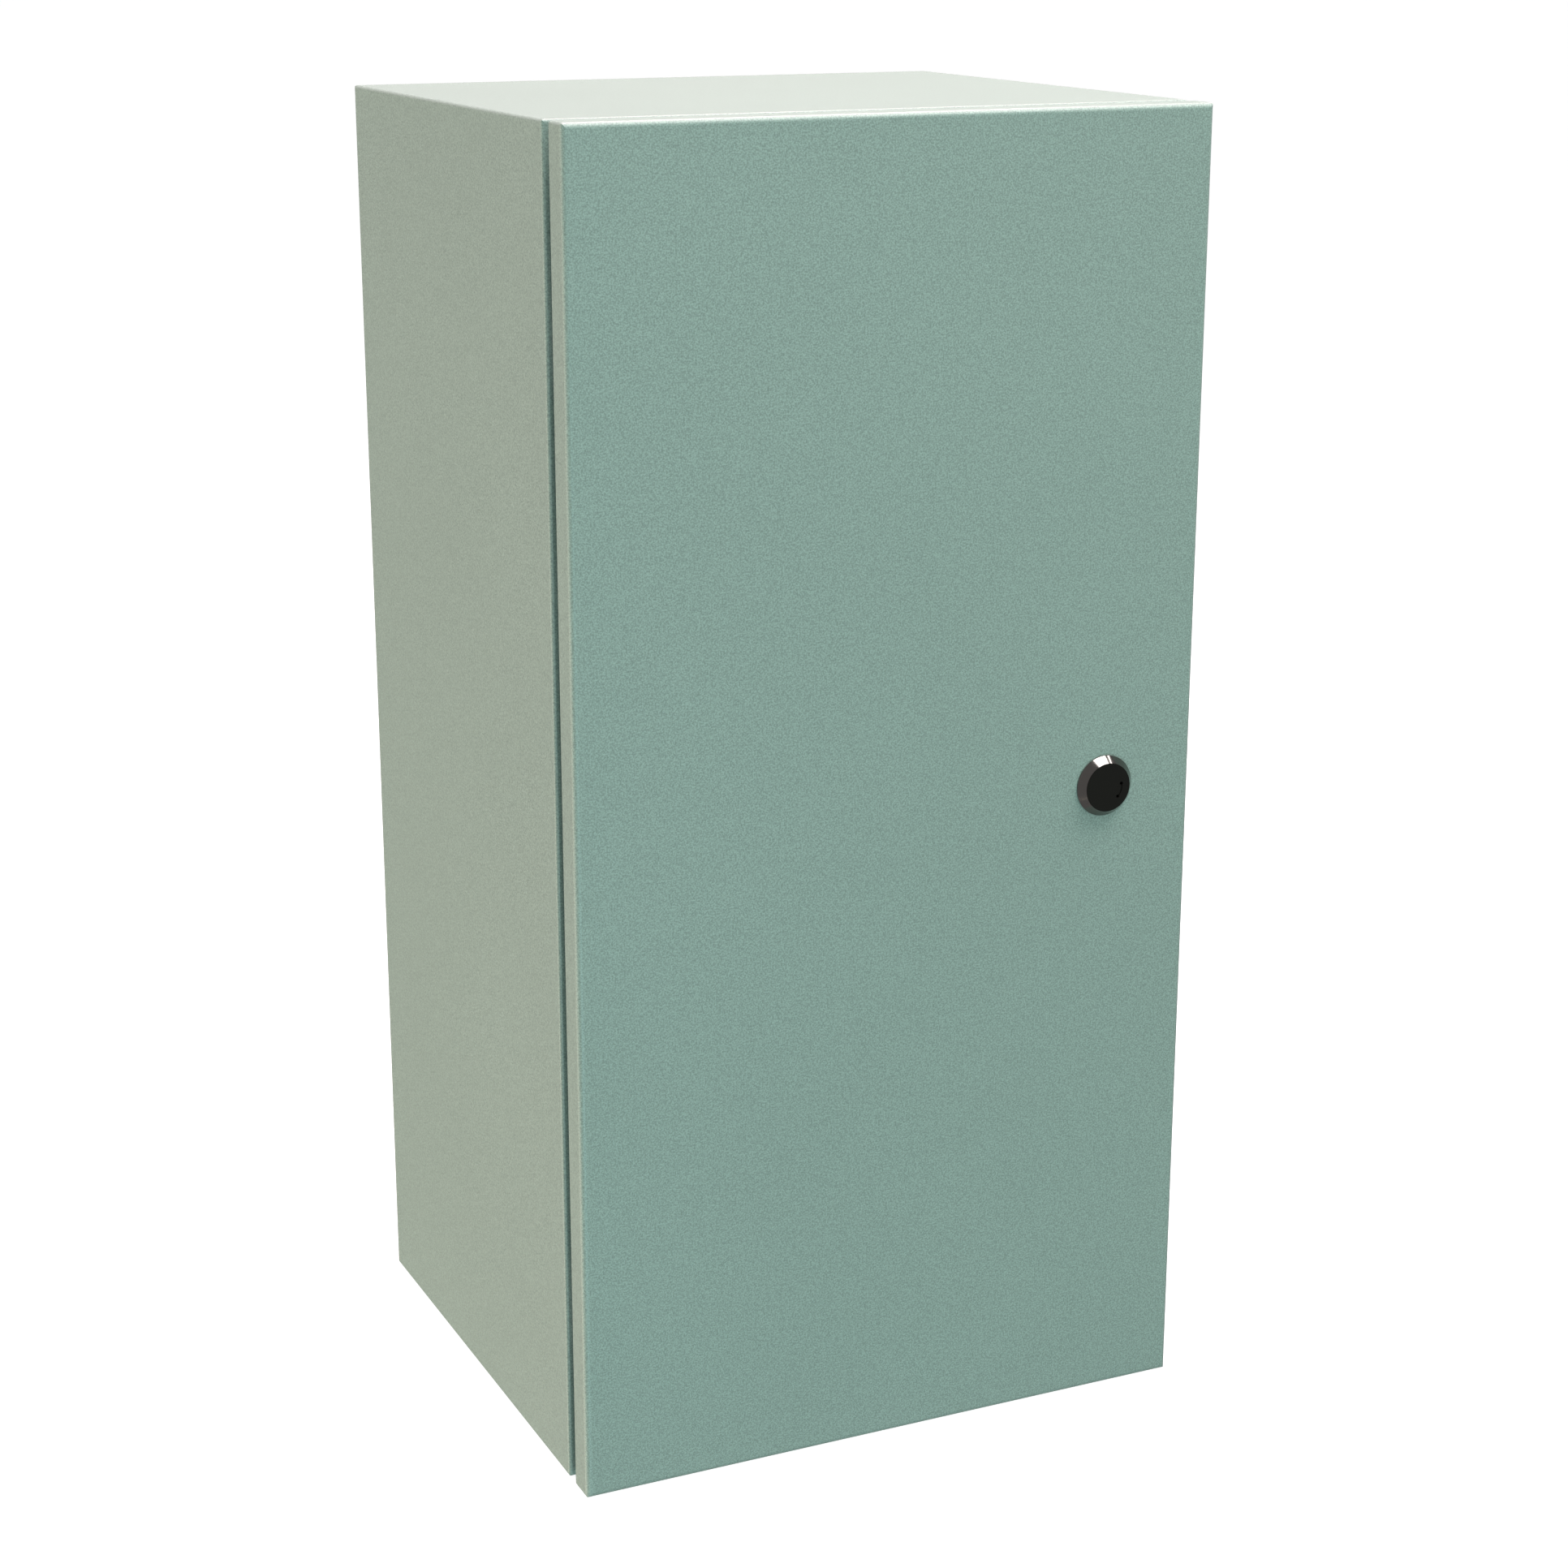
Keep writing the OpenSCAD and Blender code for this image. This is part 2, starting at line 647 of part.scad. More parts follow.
// ---------------------------------------------------------------- terminals and bars
module terminal_section() {
    back = rail_y + 3;
    c = terminal_h / 2;
    low = rail_y - 30;
    polygon(concat([[back, -c]], rail_notch(back), [
        [back, c], [low + 6, c], [low, 20], [low, 8], [low - 8, 7],
        [low - 8, -7], [low, -8], [low, -20], [low + 6, -c]]));
}
function terminal_x(k) = row_x + (k + 1) * slot_pitch;
function terminal_tint(k) = k % 5 == 4 ? "#4f7d3a" : k % 5 == 3 ? "#2f6fa8" : "#a4a8a6";
module terminal_blocks() {
    half = slot_pitch / 2 - 0.1;
    for (k = [0:terminals - 1]) color(terminal_tint(k)) in_frame() translate([terminal_x(k), 0, row_z[2]])
        difference() {
            along_x(-half, half) terminal_section();
            for (s = [-1, 1]) {
                y_rod(0, s * 14, rail_y - 30 - past, rail_y - 22, 2.6);
                z_rod(0, terminal_wire_y, s * 22 - 7, s * 22 + 7, 2.3);
            }
        }
}
module rail_stops() {
    stop_w = 6.8;
    right_x = terminal_x(terminals) - slot_pitch / 2;
    color("#8f9496") in_frame() for (x = [terminal_x(0) - slot_pitch / 2 - stop_w - 0.2, right_x])
        translate([x, 0, row_z[2]]) difference() {
            along_x(0, stop_w) terminal_section();
            y_rod(stop_w / 2, 0, rail_y - 38 - past, rail_y - 30, 2.2);
        }
}

module at_bar_screws() for (k = [0:11]) translate([bar_x[0] + (k + 1) * bar_pitch, 0, 0]) children();
module bus_bar(z) {
    color("#b5814a") in_frame() difference() {
        box(bar_x[0], bar_x[1], bar_back - bar_t, bar_back, z - bar_h / 2, z + bar_h / 2);
        at_bar_screws() y_rod(0, z, bar_back - bar_t - past, bar_back + past, 2.1);
    }
}
module bar_supports() {
    w = 10;
    color("#2f6fa8") in_frame() for (z = bar_z, x = [bar_x[0] - 4, bar_x[1] - w + 4])
        box(x, x + w, bar_back, plate_front, z - 9, z + 9);
}
module bar_screws() {
    head_y = bar_back - bar_t;
    color(zinc) in_frame() at_bar_screws() for (z = bar_z) {
        slotted_screw(0, z, head_y - 3, head_y, 1, 3.6);
        y_rod(0, z, head_y, bar_back, 2);
    }
}

// ---------------------------------------------------------------- wiring
// straight runs from a terminal at height z into the ducts above and below it
module run(x, y, z0, z1) z_rod(x, y, min(z0, z1), max(z0, z1), wire_r);
duct_reach = duct_h / 2 - 6;
pole_end = 34;
terminal_end = 17;
module wires_up(x, y, z, duct) run(x, y, z, duct - duct_reach);
module wires_down(x, y, z, duct) run(x, y, z, duct + duct_reach);

module terminal_wires(first) {
    for (k = [first:5:terminals - 1]) {
        wires_up(terminal_x(k), terminal_wire_y, row_z[2] + terminal_end, duct_rows[2]);
        wires_down(terminal_x(k), terminal_wire_y, row_z[2] - terminal_end, duct_rows[3]);
    }
}
module incoming_wires(poles) {
    for (k = poles) {
        wires_up(pole_x(k), wire_y, row_z[0] + pole_end, duct_rows[0]);
        wires_down(pole_x(k), wire_y, row_z[0] - pole_end, duct_rows[1]);
    }
}
module phase_wires(p, tint) {
    color(tint) in_frame() {
        for (k = [p:3:row_poles - 1]) {
            wires_up(pole_x(k), wire_y, row_z[1] + pole_end, duct_rows[1]);
            wires_down(pole_x(k), wire_y, row_z[1] - pole_end, duct_rows[2]);
        }
        incoming_wires([p, p + 4]);
        wires_up(pole_x(p + 8), wire_y, row_z[0] + pole_end, duct_rows[0]);
        terminal_wires(p);
    }
}
module wires_neutral() {
    color("#2b63a0") in_frame() {
        incoming_wires([3, 7]);
        terminal_wires(3);
    }
}
module wires_earth() {
    color("#6f9a34") in_frame() {
        wires_up(pole_x(11), wire_y, row_z[0] + pole_end, duct_rows[0]);
        terminal_wires(4);
    }
}

// ---------------------------------------------------------------- earthing
lug_seat = sheet + 3;     // face of the nut that the cable lug lies on
lug_sheet = 1.2;
lug_axis = 7;             // distance of the cable's axis from the wall's outer face
barrel_top = -8;
barrel_end = -18;
nut_flats = 10;
// stud on the face x = 0, pointing along +X, with a nut each side of the lug
module earth_stud() {
    x_rod(sheet, 15, 0, 0, earth_r);
    x_hex(sheet, lug_seat, 0, 0, nut_flats);
    x_hex(lug_seat + lug_sheet, lug_seat + lug_sheet + 5, 0, 0, nut_flats);
}
module earth_lug() {
    difference() {
        union() {
            x_rod(lug_seat, lug_seat + lug_sheet, 0, 0, 5.6);
            box(lug_seat, lug_seat + lug_sheet, -3, 3, barrel_top, 0);
        }
        x_rod(lug_seat - past, lug_seat + lug_sheet + past, 0, 0, earth_r + 0.2);
    }
    translate([lug_axis, 0, barrel_end]) cylinder(h = barrel_top - barrel_end, r = strap_r + 0.8);
}
module on_left_wall() in_frame() translate([0, earth_body_y, earth_z]) children();
module on_door() in_frame() translate([earth_door_x, 0, earth_z]) rotate([0, 0, 90]) children();
module earth_stud_body() { color("#c9a24a") on_left_wall() earth_stud(); }
module earth_stud_door() { color("#c9a24a") on_door() earth_stud(); }
module earth_lug_body() { color("#c9a24a") on_left_wall() earth_lug(); }
module earth_lug_door() { color("#c9a24a") on_door() earth_lug(); }

// flexible lead between the two lugs, hanging in a loop beside the hinge
strap_route = [
    [36, 7, -18.3], [36, 8, -32], [34.5, 12, -45], [31.5, 19, -56], [28, 28, -62],
    [22, 38, -60], [15, 47, -50], [10, 53, -39], [7.4, 55, -28], [7, 55, -18.3]];
strap_sides = 8;
function strap_ring(p, d) =
    let (f = d / norm(d), side = cross(f, [0, 1, 1]), u = side / norm(side), v = cross(u, f))
    [for (k = [0:strap_sides - 1]) let (a = k * 360 / strap_sides) p + strap_r * (cos(a) * u + sin(a) * v)];
// smooth curve through four points of the route, at t from 0 to 1 between the middle two
function spline(a, b, c, d, t) =
    0.5 * (2 * b + (c - a) * t + (2 * a - 5 * b + 4 * c - d) * t * t + (3 * b - a - 3 * c + d) * t * t * t);
function strap_line(p) = concat(
    [for (i = [0:len(p) - 2], t = [0, 0.25, 0.5, 0.75])
        spline(p[max(i - 1, 0)], p[i], p[i + 1], p[min(i + 2, len(p) - 1)], t)],
    [p[len(p) - 1]]);
module earth_strap() {
    line = [for (q = strap_line(strap_route)) q + [0, 0, earth_z]];
    last = len(line) - 1;
    points = [for (i = [0:last]) each strap_ring(line[i], line[min(i + 1, last)] - line[max(i - 1, 0)])];
    walls = [for (i = [0:last - 1], j = [0:strap_sides - 1]) let (k = (j + 1) % strap_sides)
        [strap_sides * i + j, strap_sides * i + k, strap_sides * (i + 1) + k, strap_sides * (i + 1) + j]];
    ends = [[for (j = [strap_sides - 1:-1:0]) j], [for (j = [0:strap_sides - 1]) strap_sides * last + j]];
    color("#7fa32f") in_frame() polyhedron(points, concat(walls, ends));
}

body_shell();
rear_panel();
gland_plate();
gland_gasket();
gland_fixings();
mounting_plate();
mounting_studs();
standoff_sleeves();
mounting_nuts();
hinge_arms();
hinge_screws();
earth_stud_body();
earth_lug_body();
earth_strap();
door_panel();
door_gasket();
hinge_leaves();
hinge_pins();
earth_stud_door();
earth_lug_door();
document_pocket();
lock_seal();
lock_housing();
lock_nut();
lock_rotor();
lock_cam();
cam_screw();
din_rail(row_z[0]);  // din_rail_upper
din_rail(row_z[1]);  // din_rail_middle
din_rail(row_z[2]);  // din_rail_lower
rail_screws();
rail_stops();
wiring_ducts();
duct_covers();
main_switch_case();
main_switch_toggle();
residual_current_case();
residual_current_toggle();
test_button();
surge_arrester_base();
surge_cartridges();
breaker_case(1);  // breaker_case_1
breaker_case(2);  // breaker_case_2
breaker_case(3);  // breaker_case_3
breaker_case(4);  // breaker_case_4
breaker_toggle(1);  // breaker_toggle_1
breaker_toggle(2);  // breaker_toggle_2
breaker_toggle(3);  // breaker_toggle_3
breaker_toggle(4);  // breaker_toggle_4
terminal_screws();
terminal_blocks();
bus_bar(bar_z[0]);  // neutral_bar
bus_bar(bar_z[1]);  // earth_bar
bar_supports();
bar_screws();
phase_wires(0, "#5a3a22");  // wires_phase_1
phase_wires(1, "#1e1f20");  // wires_phase_2
phase_wires(2, "#7d8284");  // wires_phase_3
wires_neutral();
wires_earth();
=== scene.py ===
"""Looks, light and camera of the switchboard cabinet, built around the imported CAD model.

Everything is in metres in the model's own frame: X to the right, Y from the door to the wall, Z up.
The CAD model brings the shapes. This script adds materials, the foam gasket, the earthing lead, the duct
lids and the blank plates and tags, and then the camera, the lights and the floor.
"""

import json
import math

import bmesh
import bpy
from mathutils import Matrix, Vector, noise


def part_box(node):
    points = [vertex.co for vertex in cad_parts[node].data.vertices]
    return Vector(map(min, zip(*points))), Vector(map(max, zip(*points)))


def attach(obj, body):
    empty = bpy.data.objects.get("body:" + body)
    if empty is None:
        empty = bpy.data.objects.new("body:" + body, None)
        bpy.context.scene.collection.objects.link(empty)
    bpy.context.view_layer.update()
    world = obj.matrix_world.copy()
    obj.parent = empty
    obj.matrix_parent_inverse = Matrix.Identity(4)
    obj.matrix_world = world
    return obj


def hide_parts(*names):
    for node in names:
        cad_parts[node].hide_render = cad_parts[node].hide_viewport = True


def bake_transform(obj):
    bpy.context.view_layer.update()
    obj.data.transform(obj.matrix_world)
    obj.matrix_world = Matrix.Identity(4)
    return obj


MM = 0.001

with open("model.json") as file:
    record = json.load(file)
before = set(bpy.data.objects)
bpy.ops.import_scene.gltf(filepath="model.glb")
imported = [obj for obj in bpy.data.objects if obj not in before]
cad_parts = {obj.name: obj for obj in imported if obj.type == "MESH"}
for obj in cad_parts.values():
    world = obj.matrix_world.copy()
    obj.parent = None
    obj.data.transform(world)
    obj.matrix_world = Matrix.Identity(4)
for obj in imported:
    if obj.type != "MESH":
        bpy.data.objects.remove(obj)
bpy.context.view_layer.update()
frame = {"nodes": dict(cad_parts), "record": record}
nodes = frame["nodes"]

DOOR_LOW, DOOR_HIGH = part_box("door_panel")
BODY_LOW, BODY_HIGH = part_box("body_shell")


# ---------------------------------------------------------------- node helpers
class Shader:
    """A material with a Principled shader and short calls for the nodes that feed it."""

    def __init__(self, name, color, roughness, metallic=0.0, **sockets):
        self.material = bpy.data.materials.new(name)
        self.material.use_nodes = True
        self.material.diffuse_color = (*color, 1.0)
        self.tree = self.material.node_tree
        self.bsdf = self.tree.nodes["Principled BSDF"]
        self.color = color
        self.bsdf.inputs["Base Color"].default_value = (*color, 1.0)
        self.bsdf.inputs["Roughness"].default_value = roughness
        self.bsdf.inputs["Metallic"].default_value = metallic
        for socket, value in sockets.items():
            self.bsdf.inputs[socket.replace("_", " ")].default_value = value
        self.place = self.node("ShaderNodeTexCoord").outputs["Object"]

    def node(self, kind, **settings):
        """A new node with the given settings."""
        made = self.tree.nodes.new(kind)
        for key, value in settings.items():
            setattr(made, key, value)
        return made

    def link(self, source, target):
        """Feeds the output source into the input target."""
        self.tree.links.new(source, target)

    def scaled_place(self, size, stretch):
        """The place on the object, in units of size metres, longer along the axes by stretch."""
        mapping = self.node("ShaderNodeMapping")
        mapping.inputs["Scale"].default_value = [1 / (size * s) for s in stretch]
        self.link(self.place, mapping.inputs["Vector"])
        return mapping.outputs["Vector"]

    def noise(self, size, detail=2.0, stretch=(1.0, 1.0, 1.0)):
        """Noise whose grains are size metres across, drawn out along the axes by stretch."""
        texture = self.node("ShaderNodeTexNoise")
        texture.inputs["Scale"].default_value = 1.0
        texture.inputs["Detail"].default_value = detail
        self.link(self.scaled_place(size, stretch), texture.inputs["Vector"])
        return texture.outputs["Fac"]

    def cells(self, size, output="Distance"):
        """Cells about size metres across: their Distance from the middle, or a random Color each."""
        texture = self.node("ShaderNodeTexVoronoi")
        texture.inputs["Scale"].default_value = 1.0
        self.link(self.scaled_place(size, (1.0, 1.0, 1.0)), texture.inputs["Vector"])
        return texture.outputs[output]

    def spread(self, source, low, high, start=0.3, end=0.7):
        """Brings source, as it goes from start to end, to the range low to high."""
        span = self.node("ShaderNodeMapRange")
        for socket, value in (("From Min", start), ("From Max", end), ("To Min", low), ("To Max", high)):
            span.inputs[socket].default_value = value
        self.link(source, span.inputs["Value"])
        return span.outputs["Result"]

    def mix(self, factor, first, second):
        """A colour between first and second, which are colours or outputs."""
        mix = self.node("ShaderNodeMix", data_type="RGBA")
        self.link(factor, mix.inputs["Factor"])
        sockets = [s for s in mix.inputs if s.type == "RGBA"]
        for socket, value in zip(sockets, (first, second)):
            if isinstance(value, bpy.types.NodeSocket):
                self.link(value, socket)
            else:
                socket.default_value = (*value, 1.0)
        return next(s for s in mix.outputs if s.type == "RGBA")

    def vary(self, source, amount, first=None):
        """The base colour, or first, made darker and lighter by amount as source varies."""
        start = self.color if first is None else first
        scale = self.node("ShaderNodeVectorMath", operation="SCALE")
        if isinstance(start, bpy.types.NodeSocket):
            self.link(start, scale.inputs[0])
        else:
            scale.inputs[0].default_value = start
        self.link(self.spread(source, 1 - amount, 1 + amount), scale.inputs["Scale"])
        return scale.outputs["Vector"]

    def set_color(self, source):
        """Takes the base colour from source."""
        self.link(source, self.bsdf.inputs["Base Color"])

    def set_roughness(self, source, low, high):
        """Makes the roughness go from low to high as source varies."""
        self.link(self.spread(source, low, high), self.bsdf.inputs["Roughness"])

    def add_bump(self, source, height, strength=1.0):
        """Adds relief of the given height, in metres, on top of any there is."""
        bump = self.node("ShaderNodeBump")
        bump.inputs["Distance"].default_value = height
        bump.inputs["Strength"].default_value = strength
        self.link(source, bump.inputs["Height"])
        normal = self.bsdf.inputs["Normal"]
        if normal.is_linked:
            self.link(normal.links[0].from_socket, bump.inputs["Normal"])
        self.link(bump.outputs["Normal"], normal)


# ---------------------------------------------------------------- materials
def drawn_out(axis, amount):
    """Stretch of a texture that is drawn out along one axis."""
    stretch = [1.0, 1.0, 1.0]
    stretch[axis] = amount
    return stretch


def powder_coat():
    """Grey-green powder coat: a fine even speckle over a faint orange peel."""
    shader = Shader("powder_coat", (0.252, 0.322, 0.279), roughness=0.45)
    speckle = shader.noise(size=0.7 * MM, detail=1.0)
    peel = shader.noise(size=1.2 * MM, detail=1.0)
    cloud = shader.noise(size=150 * MM)
    clouded = shader.vary(cloud, amount=0.015)
    shader.set_color(shader.vary(speckle, amount=0.24, first=clouded))
    shader.set_roughness(speckle, low=0.34, high=0.46)
    shader.add_bump(peel, height=0.05 * MM, strength=0.8)
    shader.add_bump(speckle, height=0.015 * MM, strength=0.8)
    return shader.material


def galvanised():
    """Hot-dip zinc: pale crystals of changing brightness with a soft sheen."""
    shader = Shader("galvanised", (0.60, 0.615, 0.61), roughness=0.42, metallic=0.9)
    crystals = shader.cells(size=9 * MM, output="Color")
    streaks = shader.noise(size=3 * MM, stretch=drawn_out(axis=2, amount=6.0))
    crystalline = shader.vary(crystals, amount=0.09)
    shader.set_color(shader.vary(streaks, amount=0.05, first=crystalline))
    shader.set_roughness(crystals, low=0.34, high=0.52)
    shader.add_bump(crystals, height=0.02 * MM, strength=0.3)
    return shader.material


def plated_steel(name, color, roughness, brush_axis):
    """Plated steel with fine drawing lines along one axis and a little unevenness."""
    shader = Shader(name, color, roughness, metallic=1.0)
    lines = shader.noise(size=0.25 * MM, stretch=drawn_out(brush_axis, amount=40.0))
    stains = shader.noise(size=9 * MM, detail=3.0)
    lined = shader.vary(lines, amount=0.05)
    shader.set_color(shader.vary(stains, amount=0.08, first=lined))
    shader.set_roughness(stains, low=roughness - 0.07, high=roughness + 0.09)
    shader.add_bump(lines, height=0.01 * MM, strength=0.4)
    return shader.material


def polished_chrome():
    """Dark polished chrome with the slight haze of a handled part."""
    shader = Shader("polished_chrome", (0.20, 0.185, 0.175), roughness=0.10, metallic=1.0)
    haze = shader.noise(size=5 * MM, detail=3.0)
    shader.set_color(shader.vary(haze, amount=0.04))
    shader.set_roughness(haze, low=0.07, high=0.15)
    return shader.material


def drawn_brass():
    """Drawn brass with lines along X and patches of dull tarnish."""
    shader = Shader("drawn_brass", (0.62, 0.43, 0.17), roughness=0.32, metallic=1.0)
    lines = shader.noise(size=0.2 * MM, stretch=drawn_out(axis=0, amount=50.0))
    tarnish = shader.noise(size=12 * MM, detail=4.0)
    dull = shader.mix(shader.spread(tarnish, low=0.0, high=0.5), shader.color, (0.40, 0.24, 0.10))
    shader.set_color(shader.vary(lines, amount=0.06, first=dull))
    shader.set_roughness(tarnish, low=0.25, high=0.45)
    shader.add_bump(lines, height=0.01 * MM, strength=0.4)
    return shader.material


def moulded_plastic(name, color, roughness, **sockets):
    """Moulded plastic with the fine spark-eroded texture of its tool."""
    shader = Shader(name, color, roughness, **sockets)
    texture = shader.noise(size=0.6 * MM)
    flow = shader.noise(size=25 * MM)
    textured = shader.vary(texture, amount=0.02)
    shader.set_color(shader.vary(flow, amount=0.025, first=textured))
    shader.set_roughness(texture, low=roughness - 0.06, high=roughness + 0.08)
    shader.add_bump(texture, height=0.012 * MM, strength=0.8)
    return shader.material


def extruded_plastic(name, color, roughness, axis):
    """Extruded plastic with faint die lines along one axis."""
    shader = Shader(name, color, roughness)
    lines = shader.noise(size=0.7 * MM, stretch=drawn_out(axis, amount=80.0))
    shader.set_color(shader.vary(lines, amount=0.03))
    shader.set_roughness(lines, low=roughness - 0.06, high=roughness + 0.08)
    shader.add_bump(lines, height=0.02 * MM, strength=0.5)
    return shader.material


def foamed_gasket():
    """Dark polyurethane foam with a smooth skin and small open pores."""
    shader = Shader("foamed_gasket", (0.022, 0.023, 0.026), roughness=0.62)
    pores = shader.cells(size=0.7 * MM)
    lumps = shader.noise(size=6 * MM)
    porous = shader.vary(pores, amount=0.25)
    shader.set_color(shader.vary(lumps, amount=0.15, first=porous))
    shader.set_roughness(pores, low=0.5, high=0.8)
    shader.add_bump(pores, height=0.08 * MM, strength=0.5)
    shader.add_bump(lumps, height=0.3 * MM, strength=0.5)
    return shader.material


# materials by the slot names of the record
MATERIALS = {
    "enclosure_paint": powder_coat(),
    "galvanised": galvanised(),
    "zinc_plated": plated_steel("zinc_plated", (0.66, 0.67, 0.69), 0.30, brush_axis=1),
    "passivated_rail": plated_steel("passivated_rail", (0.64, 0.63, 0.53), 0.34, brush_axis=0),
    "hinge_steel": plated_steel("hinge_steel", (0.44, 0.45, 0.47), 0.38, brush_axis=2),
    "gasket_foam": foamed_gasket(),
    "lock_chrome": polished_chrome(),
    "lock_black": moulded_plastic("lock_black", (0.009, 0.0075, 0.006), 0.6, Specular_IOR_Level=0.1),
    "pocket_plastic": moulded_plastic("pocket_plastic", (0.56, 0.58, 0.56), 0.45),
    "duct_plastic": extruded_plastic("duct_plastic", (0.33, 0.35, 0.37), 0.5, axis=0),
    "case_plastic": moulded_plastic("case_plastic", (0.66, 0.67, 0.65), 0.46),
    "toggle_black": moulded_plastic("toggle_black", (0.018, 0.02, 0.023), 0.36),
    "toggle_red": moulded_plastic("toggle_red", (0.42, 0.02, 0.014), 0.36),
    "toggle_blue": moulded_plastic("toggle_blue", (0.02, 0.06, 0.14), 0.36),
    "button_yellow": moulded_plastic("button_yellow", (0.72, 0.40, 0.02), 0.36),
    "cartridge_plastic": moulded_plastic("cartridge_plastic", (0.20, 0.06, 0.035), 0.45),
    "terminal_plastic": moulded_plastic("terminal_plastic", (0.33, 0.35, 0.34), 0.5),
    "support_plastic": moulded_plastic("support_plastic", (0.035, 0.14, 0.38), 0.45),
    "brass_bar": drawn_brass(),
    "brown_insulation": extruded_plastic("brown_insulation", (0.10, 0.038, 0.016), 0.42, axis=2),
    "black_insulation": extruded_plastic("black_insulation", (0.013, 0.013, 0.013), 0.42, axis=2),
    "grey_insulation": extruded_plastic("grey_insulation", (0.20, 0.21, 0.22), 0.42, axis=2),
    "blue_insulation": extruded_plastic("blue_insulation", (0.02, 0.11, 0.36), 0.42, axis=2),
    "green_insulation": extruded_plastic("green_insulation", (0.035, 0.22, 0.03), 0.42, axis=2),
}


# ---------------------------------------------------------------- mesh builders
def local(x, y, z):
    """Point given in millimetres from the cabinet's lower left front corner."""
    return Vector((DOOR_LOW.x + x * MM, DOOR_LOW.y + y * MM, z * MM))


def skin(rings, loop=False):
    """Points and faces of a tube through rings of points; unless it is a loop, its ends are capped."""
    count = len(rings[0])
    spans = len(rings) if loop else len(rings) - 1
    faces = []
    for i in range(spans):
        here = i * count
        there = (i + 1) % len(rings) * count
        for j in range(count):
            k = (j + 1) % count
            faces.append((here + j, here + k, there + k, there + j))
    if not loop:
        faces.append(tuple(range(count)))
        faces.append(tuple(range(spans * count, spans * count + count)))
    return [point for ring in rings for point in ring], faces


def add_piece(name, skins, body, slot, material=None, smooth_below=35):
    """One piece made of several skins, smooth except at edges sharper than smooth_below degrees."""
    shape = bmesh.new()
    for points, faces in skins:
        corners = [shape.verts.new(point) for point in points]
        for face in faces:
            shape.faces.new([corners[index] for index in face])
    bmesh.ops.recalc_face_normals(shape, faces=shape.faces)
    mesh = bpy.data.meshes.new(name)
    shape.to_mesh(mesh)
    shape.free()
    mesh.shade_smooth()
    mesh.set_sharp_from_angle(angle=math.radians(smooth_below))
    mesh.materials.append(material or MATERIALS[slot])
    piece = bpy.data.objects.new(name, mesh)
    bpy.context.scene.collection.objects.link(piece)
    if body:
        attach(piece, body)
    return piece


def rounded_outline(low_x, high_x, low_z, high_z, radius, arc_steps, run_step=None):
    """Closed path round an upright rectangle, as points each with its outward direction.

    Its corners take arc_steps steps each. With run_step, the straight runs get points about that far apart.
    """
    corners = (
        (high_x - radius, high_z - radius),
        (low_x + radius, high_z - radius),
        (low_x + radius, low_z + radius),
        (high_x - radius, low_z + radius),
    )
    path = []
    for index, (x, z) in enumerate(corners):
        for k in range(arc_steps + 1):
            angle = math.radians(90 * (index + k / arc_steps))
            out = Vector((math.cos(angle), 0, math.sin(angle)))
            path.append((Vector((x, 0, z)) + out * radius, out))
        if run_step:
            next_x, next_z = corners[(index + 1) % len(corners)]
            start = path[-1][0]
            end = Vector((next_x, 0, next_z)) + out * radius
            count = round((end - start).length / run_step)
            path += [(start.lerp(end, k / count), out) for k in range(1, count)]
    return path


# ---------------------------------------------------------------- door gasket
def add_gasket():
    """Foamed gasket: a domed bead with slight ripples where the foam was poured."""
    low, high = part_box("door_gasket")
    width = 9 * MM
    half = width / 2
    height = high.y - low.y
    sides = 12
    # a fullness below 1 makes the bead's section squarer than a half circle
    fullness = 0.7
    ripple = 0.05
    ripple_length = 20 * MM
    path = rounded_outline(
        low.x + half, high.x - half, low.z + half, high.z - half, half, arc_steps=8, run_step=5 * MM
    )
    rings = []
    for point, out in path:
        rise = height * (1 - ripple * abs(noise.noise(point / ripple_length)))
        ring = []
        for k in range(sides + 1):
            angle = math.pi * k / sides
            across = math.copysign(abs(math.cos(angle)) ** fullness, math.cos(angle)) * half
            up = abs(math.sin(angle)) ** fullness * rise
            ring.append(point + out * across + Vector((0, low.y + up, 0)))
        rings.append(ring)
    gasket = add_piece("foam_gasket", [skin(rings, loop=True)], "door", "gasket_foam")
    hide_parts("door_gasket")


# ---------------------------------------------------------------- earthing lead
EARTH_HEIGHT = 450
LEAD_DIAMETER = 4.4 * MM
# points of the lead from the door's lug to the body's, in millimetres; Z is from EARTH_HEIGHT
LEAD_ROUTE = (
    (36, 7, -18.3), (36, 8, -32), (34.5, 12, -45), (31.5, 19, -56), (28, 28, -62),
    (22, 38, -60), (15, 47, -50), (10, 53, -39), (7.4, 55, -28), (7, 55, -18.3),
)


def smooth_route(points, steps):
    """Catmull-Rom curve through the points, with the given steps from each to the next."""
    route = []
    last = len(points) - 1
    for i in range(last):
        a = points[max(i - 1, 0)]
        b = points[i]
        c = points[i + 1]
        d = points[min(i + 2, last)]
        for k in range(steps):
            t = k / steps
            bend = (2 * a - 5 * b + 4 * c - d) * t**2 + (3 * b - a - 3 * c + d) * t**3
            route.append(0.5 * (2 * b + (c - a) * t + bend))
    return route + [points[last]]


def tube_rings(route, radius, sides):
    """Circles across the route, carried along it without twist."""
    rings = []
    side = Vector((1, 0, 0))
    last = len(route) - 1
    for i, point in enumerate(route):
        along = (route[min(i + 1, last)] - route[max(i - 1, 0)]).normalized()
        side = (side - along * side.dot(along)).normalized()
        other = along.cross(side)
        ring = []
        for k in range(sides):
            angle = 2 * math.pi * k / sides
            ring.append(point + (side * math.cos(angle) + other * math.sin(angle)) * radius)
        rings.append(ring)
    return rings


